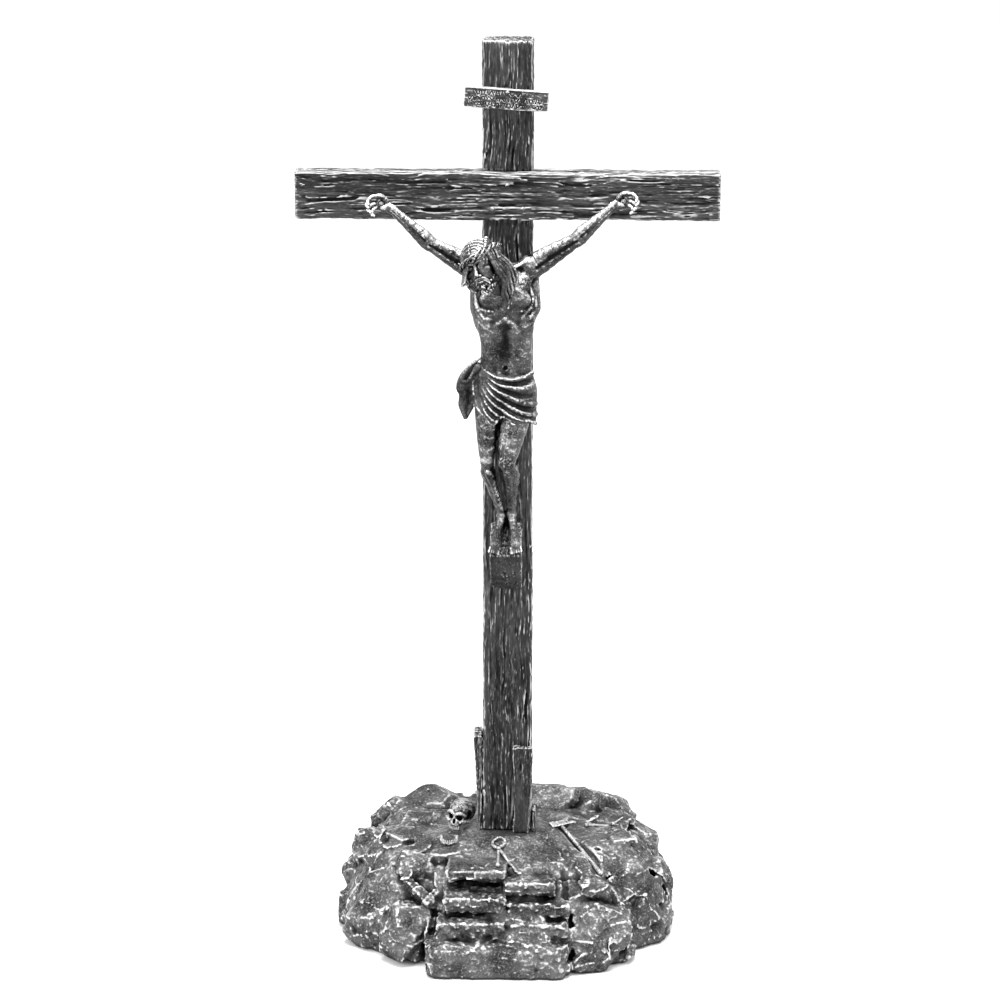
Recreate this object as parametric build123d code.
from build123d import *
from math import cos, radians, sin
import os

# Tabletop crucifix. A timber cross with a cast figure stands in a pocket of a rock mound.
# Millimetres. Origin: on the post's axis, at the underside. +X right, +Y to the back, +Z up.

os.makedirs("parts", exist_ok=True)

# ---------------- driving dimensions ----------------
TOTAL_H = 400.0          # underside to the top of the post
BASE_W = 152.0           # mound, side to side
BASE_D = 139.0           # mound, front to back
PLATEAU_Z = 43.0         # flat top of the mound
SEAT_Z = 48.0            # raised seat round the foot of the post
FELT_T = 1.5             # felt under the mound
FELT_PROUD = 0.3         # how far the felt stands out of its recess

POST_W = 21.5
POST_D = 14.0
TENON_W = 16.0           # reduced foot of the post
TENON_D = 9.0
TENON_L = 34.0
FIT_GAP = 0.3            # clearance between the lifting cross and the mound's pieces

BEAM_L = 179.0
BEAM_H = 20.2
BEAM_D = 12.0
BEAM_HOUSING = 5.0       # depth that the beam is let into the post
BEAM_BELOW_TOP = 65.2    # top of the post down to the beam's middle

PLAQUE_W = 35.6
PLAQUE_H = 9.0
PLAQUE_T = 2.0
PLAQUE_TILT = 3.8        # degrees, right end lower
PLAQUE_BELOW_TOP = 24.7

LEDGE_W = 13.8
LEDGE_OUT = 12.0         # how far the ledge stands out of the post
LEDGE_H = 30.7
SOLE_DROP = 150.8        # beam's middle down to the ledge's slope, in the plane of the beam's face
LEDGE_WAIST = (0.60, 0.75)   # break in the ledge's underside, shares of its reach and height

FIGURE_H = 139.0         # top of the head to the toes, as it hangs
NAIL_R = 0.7             # shank of every nail that holds something
NAIL_HEAD_R = 1.5
NAIL_HEAD_T = 0.9
NAIL_HEAD_TAPER = 0.8    # front of a head as a share of its rim
NAIL_GRIP = 5.0          # how deep a nail is driven into the timber
DOWEL_R = 2.0
DOWEL_STOP = 4.0         # timber left behind a dowel's blind end
CHEST_DOWEL_IN = 2.5     # how far the chest dowel stands in front of the beam's face
CHEST_DOWEL_DROP = 50.0

WEDGE_GAP = FIT_GAP      # wedges to the post's faces
WEDGE_LEFT_H = 44.5
WEDGE_RIGHT_H = 41.0
WEDGE_SIDE_H = 11.0
WEDGE_LEFT_TOP = 4.5     # thickness at the top
WEDGE_LEFT_FOOT = 1.4    # thickness at the foot
WEDGE_LEFT_SET = 1.0     # front edge, behind the post's front face
WEDGE_RIGHT_PAST = 0.95  # how far it stands past the post's right face
WEDGE_RIGHT_W = 9.3
WEDGE_RIGHT_TOP = 4.0
WEDGE_RIGHT_FOOT = 2.2
WEDGE_SIDE_TOP = 1.2
WEDGE_SIDE_FOOT = 1.9
WEDGE_SIDE_AHEAD = 1.0   # from the post's front face, forward and back
WEDGE_SIDE_BACK = 6.0

# ---------------- derived places ----------------
POST_FRONT = -POST_D / 2
POST_BACK = POST_D / 2
BEAM_Z = TOTAL_H - BEAM_BELOW_TOP
BEAM_BACK = POST_FRONT + BEAM_HOUSING
BEAM_FRONT = BEAM_BACK - BEAM_D
FIGURE_DRAWN_H = 139.0   # height at which the figure's landmarks below are given
FIGURE_K = FIGURE_H / FIGURE_DRAWN_H
LEDGE_Z = BEAM_Z - SOLE_DROP * FIGURE_K + POST_FRONT - BEAM_FRONT


def block(x0, x1, y0, y1, z0, z1):
    """Box from its two corners."""
    return Pos((x0 + x1) / 2, (y0 + y1) / 2, (z0 + z1) / 2) * Box(x1 - x0, y1 - y0, z1 - z0)


def rod(start, end, radius, end_radius=None):
    """Round bar between two points, tapered when two radii are given."""
    start, end = Vector(*start), Vector(*end)
    run = end - start
    tip = radius if end_radius is None else end_radius
    bottom = (Align.CENTER, Align.CENTER, Align.MIN)
    if abs(tip - radius) < 0.01:
        shape = Cylinder(radius, run.length, align=bottom)
    else:
        shape = Cone(radius, tip, run.length, align=bottom)
    return Plane(origin=start, z_dir=run) * shape


BALL_TURN = Rot(25, 0, 40)   # keeps a ball's seam away from the holes and flats cut in it


def limb(points):
    """Chain of tapered rods with round joints; each point is (x, y, z, radius)."""
    shape = None
    for here, after in zip(points, points[1:]):
        span = rod(here[:3], after[:3], here[3], after[3])
        shape = span if shape is None else shape + span
    for x, y, z, radius in points:
        shape += Pos(x, y, z) * BALL_TURN * Sphere(radius)
    return shape


def prism_x(profile, x0, x1):
    """Solid with a (y, z) outline, from x0 to x1."""
    outline = Plane.YZ * make_face(Polyline(*profile, close=True))
    return Pos(x0, 0, 0) * extrude(outline, amount=x1 - x0, dir=(1, 0, 0))


def ring_face(points, z):
    """Flat closed outline at height z."""
    return Pos(0, 0, z) * make_face(Polyline(*points, close=True))


def oval(x, y, z, half_x, half_y):
    """Level elliptical section."""
    return Pos(x, y, z) * Ellipse(half_x, half_y)


def fig(x, out, drop):
    """Point on the figure: x, distance in front of the beam's face, and drop below the beam's middle."""
    return (x * FIGURE_K, BEAM_FRONT - out * FIGURE_K, BEAM_Z - drop * FIGURE_K)


def joint_at(x, out, drop, radius):
    """A figure point with its limb radius."""
    return (*fig(x, out, drop), radius * FIGURE_K)


def save(name, shape):
    """Write one node."""
    solids = shape.solids()
    export_step(solids[0] if len(solids) == 1 else Compound(children=list(solids)), f"parts/{name}.step")


# ---------------- rock mound ----------------
# Outline at the table as shares of the mound's width and depth, counter-clockwise from the left.
RIM = [
    (-0.500, 0.014), (-0.460, -0.200), (-0.385, -0.262), (-0.250, -0.324), (-0.204, -0.385),
    (-0.085, -0.420), (0.026, -0.446), (0.138, -0.446), (0.171, -0.410), (0.303, -0.396),
    (0.368, -0.237), (0.467, -0.151), (0.498, -0.043), (0.498, 0.090), (0.447, 0.252),
    (0.382, 0.370), (0.303, 0.532), (0.079, 0.554), (-0.145, 0.518), (-0.362, 0.518),
    (-0.415, 0.331), (-0.495, 0.144),
]
# Height, and how far in the outline is drawn at the sides, the front and the back.
LEVELS = [
    (FELT_PROUD, 0.985, 0.985, 0.985),
    (PLATEAU_Z * 0.32, 1.0, 1.0, 1.0),
    (PLATEAU_Z * 0.58, 0.95, 0.84, 0.97),
    (PLATEAU_Z * 0.82, 0.86, 0.70, 0.94),
    (PLATEAU_Z, 0.76, 0.60, 0.88),
]
SEAT_MARGIN = 2.0        # flat seat left outside the wedges
FOOT_SLOPE = 1.12        # spread of the seat down to the plateau
FELT_SHARE = 0.93        # felt outline as a share of the mound's
STEP_LEFT = -0.20        # the steps' ends, as shares of the mound's width
STEP_RIGHT = 0.17
STEP_BACK = -0.15        # where the steps run into the mound, as a share of its depth
# Front steps: front edge as a share of the mound's depth, top as a share of the plateau's height.
STEPS = [(-0.440, 0.32), (-0.385, 0.50), (-0.350, 0.70), (-0.312, 0.88)]
# Rim boulders: place as shares of width and depth, height share, size, turn and lean in degrees.
BOULDERS = [
    (-0.33, -0.20, 0.34, 24, 22, 20),
    (-0.42, 0.00, 0.30, 20, 60, 10),
    (0.29, -0.27, 0.36, 27, -15, 8),
    (0.40, -0.05, 0.34, 22, -40, 12),
    (0.36, 0.22, 0.50, 20, 30, 14),
    (-0.34, 0.32, 0.52, 20, 70, 12),
]


def mound_outline(side, front, back):
    """Mound's outline drawn in by the three shares."""
    points = []
    for u, v in RIM:
        points.append((u * BASE_W * side, v * BASE_D * (front if v < 0 else back)))
    return points


def make_rock():
    sections = [ring_face(mound_outline(side, front, back), z) for z, side, front, back in LEVELS]
    rock = loft(sections, ruled=True)
    seat_x = POST_W / 2 + WEDGE_GAP + WEDGE_LEFT_TOP + SEAT_MARGIN
    seat_y = POST_D / 2 + WEDGE_GAP + WEDGE_RIGHT_TOP + SEAT_MARGIN
    low = oval(0, 0, PLATEAU_Z, seat_x * FOOT_SLOPE, seat_y * FOOT_SLOPE)
    rock += loft([low, oval(0, 0, SEAT_Z, seat_x, seat_y)], ruled=True)
    for front, top in STEPS:
        rock += block(STEP_LEFT * BASE_W, STEP_RIGHT * BASE_W, front * BASE_D, STEP_BACK * BASE_D,
                      FELT_PROUD, top * PLATEAU_Z)
    for u, v, height, size, turn, lean in BOULDERS:
        stone = Rot(lean, 0, turn) * Box(size, size * 0.8, size * 0.7)
        rock += Pos(u * BASE_W, v * BASE_D, height * PLATEAU_Z) * stone
    return rock


TENON_BOTTOM = SEAT_Z - TENON_L
socket = block(-TENON_W / 2 - FIT_GAP, TENON_W / 2 + FIT_GAP, -TENON_D / 2 - FIT_GAP, TENON_D / 2 + FIT_GAP,
               TENON_BOTTOM - FIT_GAP, SEAT_Z + POST_D)
felt_outline = mound_outline(FELT_SHARE, FELT_SHARE, FELT_SHARE)
felt_pad = extrude(ring_face(felt_outline, 0), amount=FELT_T)
rock_mound = make_rock() - socket - felt_pad

# ---------------- wedges round the foot ----------------

def wedge_beside(side, top_t, foot_t, height, y0, y1):
    """Upright wedge against the post's left (-1) or right (+1) face, upright on the inside."""
    inner = side * (POST_W / 2 + WEDGE_GAP)
    outline = [(inner, SEAT_Z), (inner + side * foot_t, SEAT_Z), (inner + side * top_t, SEAT_Z + height),
               (inner, SEAT_Z + height)]
    face = Plane.XZ * make_face(Polyline(*outline, close=True))
    return Pos(0, y1, 0) * extrude(face, amount=y1 - y0, dir=(0, -1, 0))


wedge_left = wedge_beside(-1, WEDGE_LEFT_TOP, WEDGE_LEFT_FOOT, WEDGE_LEFT_H,
                          POST_FRONT + WEDGE_LEFT_SET, POST_BACK)
wedge_side = wedge_beside(1, WEDGE_SIDE_TOP, WEDGE_SIDE_FOOT, WEDGE_SIDE_H,
                          POST_FRONT - WEDGE_SIDE_AHEAD, POST_FRONT + WEDGE_SIDE_BACK)
wedge_face = POST_FRONT - WEDGE_GAP
wedge_edge = POST_W / 2 + WEDGE_RIGHT_PAST
wedge_right = prism_x(
    [(wedge_face, SEAT_Z), (wedge_face, SEAT_Z + WEDGE_RIGHT_H),
     (wedge_face - WEDGE_RIGHT_TOP, SEAT_Z + WEDGE_RIGHT_H), (wedge_face - WEDGE_RIGHT_FOOT, SEAT_Z)],
    wedge_edge - WEDGE_RIGHT_W, wedge_edge)
wedge_side -= wedge_right

# ---------------- things lying on the rock ----------------
SKULL_R = 7.2
SKULL_GAP = 1.35         # skull to the foot of the left wedge
SKULL_BACK = 2.0 / 139   # share of the mound's depth
SKULL_UP = 0.85          # middle of the dome above the plateau, in radii
CHEEK_UP = 0.5
CHEEKS = [(-1.5, 0.55, 0.52), (1.0, 0.20, 0.60)]   # across; forward and size in radii
EYE_TURNS = (-35, 15)    # degrees from straight ahead
EYE_UP = 0.75
EYE_R = 0.24
EYE_SHIFT = 1.0
JAW_AT = (-25.5 / 152, -11.0 / 139)       # places are shares of the mound's width and depth
JAW_POINTS = [(-3.2, 1.5, 0.8, 1.3), (0.0, -1.2, 1.0, 1.5), (3.0, 1.0, 0.8, 1.3)]
HAMMER_AT = (24.0 / 152, 5.0 / 139)
HAMMER_HEAD_L = 11.0
HAMMER_HEAD_T = 3.4
HAMMER_TURN = -32.0      # degrees, handle's direction from straight ahead
CLAW_L = 4.0
CLAW_T = 1.8
CLAW_LOW = 0.4           # claw's underside above the plateau
CLAW_HIGH = 2.6
HANDLE_L = 33.0
HANDLE_R = 1.1
PINCERS_AT = (-3.5 / 152, -18.5 / 139)
PINCER_RING_R = 3.4
PINCER_T = 1.8
PINCER_LEG_L = 17.0
PINCER_LEG_R = 0.756
PINCER_LEANS = (0.0, 36.0)
PINCER_LAP = 0.5         # how far a leg runs into the ring
NAIL_SPOTS = [(36.0 / 152, 15.0 / 139, 12.0), (46.5 / 152, 17.0 / 139, 60.0)]
LOOSE_NAIL_L = 11.0
LOOSE_TIP_R = 0.35
LOOSE_SHANK_R = 0.75
LOOSE_HEAD_T = 0.99
LOOSE_NAIL_UP = 0.9


def spot(at):
    """Place on the plateau from shares of the mound's width and depth."""
    return at[0] * BASE_W, at[1] * BASE_D


def on_rock(shape):
    """Keep what is above the plateau and clear of the seat."""
    reach = BASE_W
    above = block(-reach, reach, -reach, reach, PLATEAU_Z, PLATEAU_Z + reach)
    return (shape & above) - rock_mound


def make_skull():
    x = -(POST_W / 2 + WEDGE_GAP + WEDGE_LEFT_FOOT + SKULL_GAP + SKULL_R)
    y = SKULL_BACK * BASE_D
    dome = Pos(x, y, PLATEAU_Z + SKULL_R * SKULL_UP) * Sphere(SKULL_R)
    cheeks = [(x + across, y - SKULL_R * ahead, PLATEAU_Z + SKULL_R * CHEEK_UP, SKULL_R * size)
              for across, ahead, size in CHEEKS]
    head = dome + limb(cheeks)
    for turn in EYE_TURNS:
        eye_x = x + SKULL_R * sin(radians(turn)) - EYE_SHIFT
        eye_y = y - SKULL_R * cos(radians(turn))
        head -= Pos(eye_x, eye_y, PLATEAU_Z + SKULL_R * EYE_UP) * Sphere(SKULL_R * EYE_R)
    return on_rock(head)


def make_jaw():
    x, y = spot(JAW_AT)
    return on_rock(limb([(x + dx, y + dy, PLATEAU_Z + up, radius) for dx, dy, up, radius in JAW_POINTS]))


def make_hammer():
    x, y = spot(HAMMER_AT)
    place = Pos(x, y, PLATEAU_Z) * Rot(0, 0, -HAMMER_TURN)
    end = HAMMER_HEAD_L / 2
    mid = HAMMER_HEAD_T / 2
    head = block(-end, end, -mid, mid, 0, HAMMER_HEAD_T)
    claw = block(-end - CLAW_L, -end, -CLAW_T / 2, CLAW_T / 2, CLAW_LOW, CLAW_HIGH)
    handle = rod((0, mid, mid), (0, -HANDLE_L, HANDLE_R * 1.05), HANDLE_R)
    return on_rock(place * (head + claw - handle)), on_rock(place * handle)


def make_pincers():
    x, y = spot(PINCERS_AT)
    mid = PLATEAU_Z + PINCER_T / 2
    hole = Cylinder(PINCER_RING_R - PINCER_T, PINCER_T * 2)
    tool = Pos(x, y, mid) * (Cylinder(PINCER_RING_R, PINCER_T) - hole)
    for lean in PINCER_LEANS:
        tip_x = x + PINCER_LEG_L * sin(radians(lean))
        tip_y = y - PINCER_RING_R - PINCER_LEG_L * cos(radians(lean))
        tool += rod((x, y - PINCER_RING_R + PINCER_LAP, mid), (tip_x, tip_y, mid), PINCER_LEG_R)
    return on_rock(tool)


def make_loose_nails():
    nails = []
    z = PLATEAU_Z + LOOSE_NAIL_UP
    for u, v, turn in NAIL_SPOTS:
        x, y = spot((u, v))
        dx, dy = cos(radians(turn)), sin(radians(turn))
        shank = rod((x + dx * LOOSE_NAIL_L, y + dy * LOOSE_NAIL_L, z), (x, y, z), LOOSE_TIP_R, LOOSE_SHANK_R)
        head = rod((x, y, z), (x - dx * LOOSE_HEAD_T, y - dy * LOOSE_HEAD_T, z), NAIL_HEAD_R)
        nails.append(on_rock(shank + head))
    return Compound(children=nails)


skull = make_skull()
jawbone = make_jaw() - skull
hammer_head, hammer_handle = make_hammer()

# ---------------- timbers ----------------
post = block(-POST_W / 2, POST_W / 2, POST_FRONT, POST_BACK, SEAT_Z + FIT_GAP, TOTAL_H)
post += block(-TENON_W / 2, TENON_W / 2, -TENON_D / 2, TENON_D / 2, TENON_BOTTOM, SEAT_Z + FIT_GAP)
crossbeam = block(-BEAM_L / 2, BEAM_L / 2, BEAM_FRONT, BEAM_BACK, BEAM_Z - BEAM_H / 2, BEAM_Z + BEAM_H / 2)
post -= crossbeam

PLAQUE_Z = TOTAL_H - PLAQUE_BELOW_TOP
PLAQUE_X = -0.6
plaque_y = POST_FRONT - PLAQUE_T / 2
title_plaque = Pos(PLAQUE_X, plaque_y, PLAQUE_Z) * Rot(0, PLAQUE_TILT, 0) * Box(PLAQUE_W, PLAQUE_T, PLAQUE_H)


def nail(x, z, face, depth):
    """Round-headed nail driven straight back into a face."""
    head = rod((x, face - NAIL_HEAD_T, z), (x, face, z), NAIL_HEAD_R * NAIL_HEAD_TAPER, NAIL_HEAD_R)
    return head + rod((x, face, z), (x, face + depth, z), NAIL_R)


PEG_DROP = BEAM_H / 4
PEG_SIDE = 6.5
crossing = [nail(x, BEAM_Z + dz, BEAM_FRONT, BEAM_D + NAIL_GRIP)
            for x, dz in ((0, PEG_DROP), (-PEG_SIDE, -PEG_DROP), (PEG_SIDE, -PEG_DROP))]
title_nail = nail(0, PLAQUE_Z + PLAQUE_H / 3, POST_FRONT - PLAQUE_T, PLAQUE_T + NAIL_GRIP)

# ---------------- foot ledge ----------------
ledge_x = -0.5 * FIGURE_K
waist_out, waist_drop = LEDGE_WAIST
foot_ledge = prism_x(
    [(POST_FRONT, LEDGE_Z), (POST_FRONT - LEDGE_OUT, LEDGE_Z - LEDGE_OUT),
     (POST_FRONT - LEDGE_OUT * waist_out, LEDGE_Z - LEDGE_H * waist_drop), (POST_FRONT, LEDGE_Z - LEDGE_H)],
    ledge_x - LEDGE_W / 2, ledge_x + LEDGE_W / 2)

# ---------------- figure ----------------
# The body hangs from the nailed hands. Chains are (x, out of the beam's face, drop below the beam's
# middle, radius).

def level_section(x, drop, half_x, front, bite):
    """Level oval from its front, out of the beam's face, to its back, let into the post by bite."""
    y_front = BEAM_FRONT - front * FIGURE_K
    y_back = POST_FRONT + bite * FIGURE_K
    place_x, _, z = fig(x, 0, drop)
    return oval(place_x, (y_front + y_back) / 2, z, half_x * FIGURE_K, (y_back - y_front) / 2)


TORSO = [
    (-1.5, 27.5, 11.5, 8.2, -0.8), (-1.0, 36.0, 14.2, 11.7, 0.4), (-0.4, 48.0, 13.0, 12.4, 0.4),
    (0.2, 60.0, 10.6, 9.8, -0.8), (-0.2, 70.0, 10.2, 8.8, -0.6), (-0.8, 82.0, 12.0, 10.6, 0.4),
    (-0.8, 92.0, 12.0, 11.2, 0.3),
]
NECK = [(-2.5, 4.5, 30.0, 4.4), (-6.5, 7.5, 21.5, 4.2)]
LEFT_LEG = [
    (-7.2, 3.0, 88.0, 6.6), (-7.0, 9.0, 112.5, 4.6), (-2.9, -0.5, 138.5, 2.8),
    (-3.2, -1.9, 144.8, 2.9), (-6.4, 5.2, 153.2, 2.1),
]
RIGHT_LEG = [
    (4.0, 3.0, 88.0, 6.6), (1.4, 10.5, 112.0, 4.8), (1.8, -0.5, 137.0, 2.8),
    (2.0, -1.9, 144.8, 2.9), (4.4, 5.2, 153.2, 2.1),
]
body = loft([level_section(*row) for row in TORSO])
for chain in (NECK, LEFT_LEG, RIGHT_LEG):
    body += limb([joint_at(*point) for point in chain])
corpus_body = body - post - crossbeam - foot_ledge

head_raw = limb([joint_at(-10.7, 10.8, 25.5, 7.6), joint_at(-8.8, 14.6, 33.0, 5.2)])
head_raw += limb([joint_at(-5.2, 9.0, 25.0, 5.4), joint_at(-1.5, 9.0, 35.0, 3.2)])
crown_x, crown_y, crown_z = fig(-11.6, 10.6, 21.5)
CROWN_LEAN = Rot(24, 24, 0)
CROWN_R = 7.2 * FIGURE_K
CROWN_T = 1.5 * FIGURE_K
crown_ring = Pos(crown_x, crown_y, crown_z) * CROWN_LEAN * Torus(CROWN_R, CROWN_T)
corpus_head = head_raw - corpus_body - crown_ring
crown_of_thorns = crown_ring - corpus_body


def make_arm(points):
    """Arm from the shoulder to the nailed palm, flat where it lies on the beam."""
    arm = limb([joint_at(*point) for point in points])
    return arm - corpus_body - crossbeam - post - corpus_head - crown_of_thorns


left_points = [(-14.0, 2.0, 31.0, 6.0), (-32.3, 4.2, 20.0, 4.2), (-48.5, 3.4, 4.2, 2.9), (-55.7, 2.6, 2.6, 4.0)]
right_points = [(10.0, 2.0, 30.0, 6.0), (29.3, 4.2, 17.2, 4.2), (44.7, 3.4, 2.6, 2.9), (50.7, 2.6, 0.6, 4.0)]
left_arm = make_arm(left_points)
right_arm = make_arm(right_points)

wrap = loft([level_section(-0.4, 73.0, 13.0, 11.8, 0.4), level_section(-1.0, 84.0, 14.8, 14.8, 0.6),
             level_section(-1.2, 95.5, 14.2, 16.2, 0.0)])
loincloth = wrap - corpus_body - post
KNOT = [(-14.9, 4.5, 71.5, 3.4), (-18.6, 5.0, 80.5, 2.8), (-17.4, 6.0, 94.0, 1.8)]
knot_raw = limb([joint_at(*point) for point in KNOT])
loincloth_knot = knot_raw - corpus_body - loincloth - post

# ---------------- nails and dowels ----------------
hand_x = [left_points[-1][0], right_points[-1][0]]
hand_drop = [left_points[-1][2], right_points[-1][2]]
PALM_HOLLOW = 0.5
hand_out = (left_points[-1][1] + left_points[-1][3]) * FIGURE_K
hand_nails = []
for x, drop in zip(hand_x, hand_drop):
    at_x, _, at_z = fig(x, 0, drop)
    hand_nails.append(nail(at_x, at_z, BEAM_FRONT - hand_out + PALM_HOLLOW, hand_out + NAIL_GRIP))
foot_nails = []
for x, out, drop in ((-4.8, 4.8, 148.6), (3.2, 4.8, 148.6)):
    at_x, at_y, at_z = fig(x, out, drop)
    foot_nails.append(nail(at_x, at_z, at_y, POST_FRONT - at_y + NAIL_GRIP))

dowel_z = BEAM_Z - CHEST_DOWEL_DROP * FIGURE_K
dowel_end = POST_BACK - DOWEL_STOP
corpus_dowel = rod((0, BEAM_FRONT - CHEST_DOWEL_IN, dowel_z), (0, dowel_end, dowel_z), DOWEL_R)
ledge_dowel_y = POST_FRONT - LEDGE_OUT * 0.4
ledge_dowel_z = LEDGE_Z - LEDGE_H / 2
ledge_dowel = rod((ledge_x, ledge_dowel_y, ledge_dowel_z), (ledge_x, dowel_end, ledge_dowel_z), DOWEL_R)

for pin in [*crossing, title_nail, *hand_nails, *foot_nails, corpus_dowel, ledge_dowel]:
    post -= pin
    crossbeam -= pin
for pin in hand_nails:
    left_arm -= pin
    right_arm -= pin
for pin in [*foot_nails, corpus_dowel]:
    corpus_body -= pin
for pin in [*foot_nails, ledge_dowel]:
    foot_ledge -= pin
title_plaque -= title_nail

# ---------------- nodes ----------------
NODES = {
    "rock_mound": rock_mound, "felt_pad": felt_pad,
    "wedge_left": wedge_left, "wedge_right": wedge_right, "wedge_side": wedge_side,
    "skull": skull, "jawbone": jawbone, "hammer_head": hammer_head, "hammer_handle": hammer_handle,
    "pincers": make_pincers(), "loose_nails": make_loose_nails(),
    "post": post, "crossbeam": crossbeam, "crossing_pegs": Compound(children=crossing),
    "title_plaque": title_plaque, "title_nail": title_nail, "foot_ledge": foot_ledge,
    "corpus_body": corpus_body, "corpus_head": corpus_head, "crown_of_thorns": crown_of_thorns,
    "left_arm": left_arm, "right_arm": right_arm,
    "loincloth": loincloth, "loincloth_knot": loincloth_knot,
    "hand_nails": Compound(children=hand_nails), "foot_nails": Compound(children=foot_nails),
    "corpus_dowel": corpus_dowel, "ledge_dowel": ledge_dowel,
}
for name, shape in NODES.items():
    save(name, shape)
